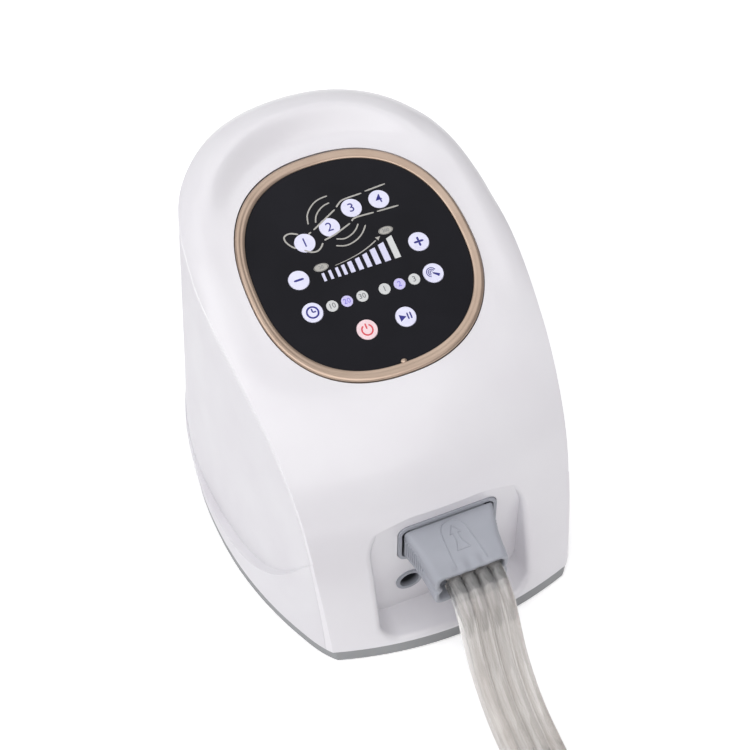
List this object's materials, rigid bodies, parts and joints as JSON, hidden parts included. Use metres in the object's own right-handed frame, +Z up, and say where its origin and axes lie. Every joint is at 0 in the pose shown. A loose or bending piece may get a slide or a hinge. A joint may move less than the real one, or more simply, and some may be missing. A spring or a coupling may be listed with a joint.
{
  "type": "compression therapy pump",
  "caption": "Table-top air pump for leg compression garments, with a domed control panel, a hose socket in a front niche and a plugged-in multi-tube hose.",
  "frame": {"origin": "under the middle of the pump on the surface that its feet stand on", "axes": "+Z up, the front with the hose socket looks along -Y, +X to the right of someone behind it"},
  "size_m": [0.2989, 0.5801, 0.21],
  "materials": {
    "white_shell": "gloss",
    "white_side": "satin",
    "grey_base": "satin",
    "rubber": "matte",
    "champagne": "satin",
    "black_glass": "gloss",
    "lit_window": "satin",
    "power_cap": "satin",
    "plug_grey": "satin",
    "barb": "satin",
    "tube": "gloss",
    "black_plastic": "matte",
    "board": "satin",
    "steel": "satin",
    "copper": "satin",
    "silicone": "satin",
    "diffuser": "matte",
    "strap": "matte"
  },
  "bodies": {
    "housing": {"front_cover": "white_shell", "rear_shell": "white_side", "base_tray": "grey_base", "rubber_feet": "rubber", "bezel_ring": "champagne", "panel_glass": "black_glass", "zone_lenses": "lit_window", "time_lenses": "lit_window", "mode_lenses": "lit_window", "level_lenses": "lit_window", "panel_carrier": "black_plastic", "key_board": "board", "key_switches": "black_plastic", "panel_lamps": "diffuser", "light_spreader": "diffuser", "hose_socket": "plug_grey", "socket_gasket": "silicone", "spare_port": "plug_grey", "pump_frame": "steel", "pump_coils": "copper", "pump_diaphragms": "rubber", "pump_heads": "black_plastic", "pump_mounts": "rubber", "valve_body": "diffuser", "valve_motor": "steel", "valve_bracket": "steel", "socket_hoses": "silicone", "pump_hoses": "silicone", "control_board": "board", "control_parts": "black_plastic", "supply_board": "board", "supply_parts": "black_plastic", "mains_inlet": "black_plastic", "case_screws": "steel", "board_screws": "steel"},
    "key_minus_body": {"key_minus": "lit_window"},
    "key_plus_body": {"key_plus": "lit_window"},
    "key_time_body": {"key_time": "lit_window"},
    "key_mode_body": {"key_mode": "lit_window"},
    "key_power_body": {"key_power": "power_cap"},
    "key_start_body": {"key_start": "lit_window"},
    "hose": {"hose_plug": "plug_grey", "plug_barbs": "barb", "hose_run": "tube", "hose_coil": "tube", "garment_plug": "plug_grey", "hose_tie": "strap"},
    "armature": {"pump_armature": "steel"},
    "rotor": {"valve_rotor": "diffuser"}
  },
  "joints": [
    {"name": "key_minus_press", "type": "slide", "parent": "housing", "child": "key_minus_body", "axis": [0, 0.2848, -0.9586], "range_m": [0, 0.0005], "stiffness_N_per_m": 3000, "springref_m": -0.0003},
    {"name": "key_plus_press", "type": "slide", "parent": "housing", "child": "key_plus_body", "axis": [0, 0.2848, -0.9586], "range_m": [0, 0.0005], "stiffness_N_per_m": 3000, "springref_m": -0.0003},
    {"name": "key_time_press", "type": "slide", "parent": "housing", "child": "key_time_body", "axis": [0, 0.3268, -0.9451], "range_m": [0, 0.0005], "stiffness_N_per_m": 3000, "springref_m": -0.0003},
    {"name": "key_mode_press", "type": "slide", "parent": "housing", "child": "key_mode_body", "axis": [0, 0.3268, -0.9451], "range_m": [0, 0.0005], "stiffness_N_per_m": 3000, "springref_m": -0.0003},
    {"name": "key_power_press", "type": "slide", "parent": "housing", "child": "key_power_body", "axis": [0, 0.3652, -0.9309], "range_m": [0, 0.0005], "stiffness_N_per_m": 3000, "springref_m": -0.0003},
    {"name": "key_start_press", "type": "slide", "parent": "housing", "child": "key_start_body", "axis": [0, 0.3652, -0.9309], "range_m": [0, 0.0005], "stiffness_N_per_m": 3000, "springref_m": -0.0003},
    {"name": "plug_pull", "type": "slide", "parent": "housing", "child": "hose", "axis": [0, -1, 0], "range_m": [0, 0.03]},
    {"name": "armature_stroke", "type": "slide", "parent": "housing", "child": "armature", "axis": [1, 0, 0], "range_m": [-0.0015, 0.0015], "stiffness_N_per_m": 3000},
    {"name": "rotor_turn", "type": "hinge", "parent": "housing", "child": "rotor", "pos_m": [0, -0.05, 0.0745], "axis": [0, 1, 0], "continuous": true}
  ]
}
